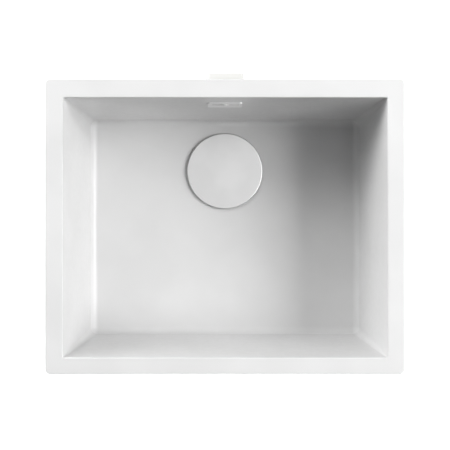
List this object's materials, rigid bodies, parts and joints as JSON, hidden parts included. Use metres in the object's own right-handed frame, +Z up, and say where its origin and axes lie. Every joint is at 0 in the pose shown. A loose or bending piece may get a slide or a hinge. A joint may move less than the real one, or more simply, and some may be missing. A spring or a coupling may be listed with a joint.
{
  "type": "kitchen sink",
  "caption": "Single-bowl ceramic kitchen sink for mounting under a worktop, with strainer waste, drain cover and overflow.",
  "frame": {"origin": "centre of the rim's outline, in the plane of the rim's top face", "axes": "+X to the right, +Y to the back, where the overflow is, +Z up"},
  "size_m": [0.56, 0.4768, 0.303],
  "materials": {
    "white_glaze": "glossy white glaze over fireclay",
    "turned_brass": "turned, unpolished",
    "satin_steel": "satin stainless sheet",
    "drawn_steel": "deep-drawn bright stainless",
    "bright_trim": "polished stainless",
    "screw_steel": "rolled stainless",
    "black_rubber": "moulded rubber",
    "grey_plastic": "moulded polypropylene",
    "white_plastic": "moulded polypropylene",
    "carrier_plastic": "moulded acetal"
  },
  "bodies": {
    "root": {"basin": "white_glaze", "rim_inserts": "turned_brass", "strainer_cup": "drawn_steel", "cup_gasket": "black_rubber", "waste_gasket": "black_rubber", "waste_body": "grey_plastic", "clamp_screw": "screw_steel", "clamp_nut": "turned_brass", "overflow_trim": "bright_trim", "overflow_screw": "bright_trim", "overflow_gasket": "black_rubber", "overflow_elbow": "white_plastic", "elbow_insert": "turned_brass", "overflow_hose": "white_plastic", "hose_nuts": "grey_plastic", "hose_seals": "black_rubber"},
    "basket": {"strainer_basket": "drawn_steel", "basket_seal": "black_rubber", "basket_knob": "drawn_steel", "basket_clip": "white_plastic", "basket_rivet": "screw_steel"},
    "cover": {"cover_plate": "satin_steel", "cover_carrier": "carrier_plastic", "cover_feet": "black_rubber"}
  },
  "joints": [
    {"name": "basket_lift", "type": "slide", "parent": "root", "child": "basket", "axis": [0, 0, 1], "range_m": [0, 0.24]},
    {"name": "cover_lift", "type": "slide", "parent": "basket", "child": "cover", "axis": [0, 0, 1], "range_m": [0, 0.22]}
  ]
}
